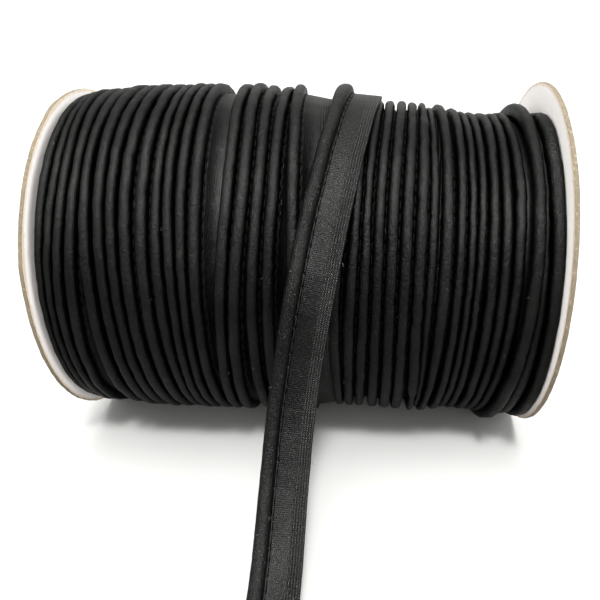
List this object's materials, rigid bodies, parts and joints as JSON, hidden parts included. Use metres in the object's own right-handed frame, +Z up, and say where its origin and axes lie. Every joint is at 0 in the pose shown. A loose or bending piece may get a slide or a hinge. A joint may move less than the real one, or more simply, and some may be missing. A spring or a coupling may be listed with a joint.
{
  "type": "roll of piping trim",
  "caption": "Roll of black corded piping wound in close turns between two white card discs, with one end of the trim hanging loose at the front.",
  "frame": {"origin": "on the surface it rests on, midway between the two discs and under the spool's axis", "axes": "+X along the spool, from left to right as seen from the front; -Y to the front, where the loose end hangs; +Z up"},
  "size_m": [0.1158, 0.1402, 0.0856],
  "materials": {
    "piping_wound": "black satin with a soft sheen",
    "piping_loose": "black satin bead on a ribbed tape",
    "disc_card": "smooth white paper faces over grey-brown card"
  },
  "bodies": {
    "root": {"winding": "piping_wound", "disc_left": "disc_card", "disc_right": "disc_card", "loose_end": "piping_loose"}
  },
  "joints": []
}
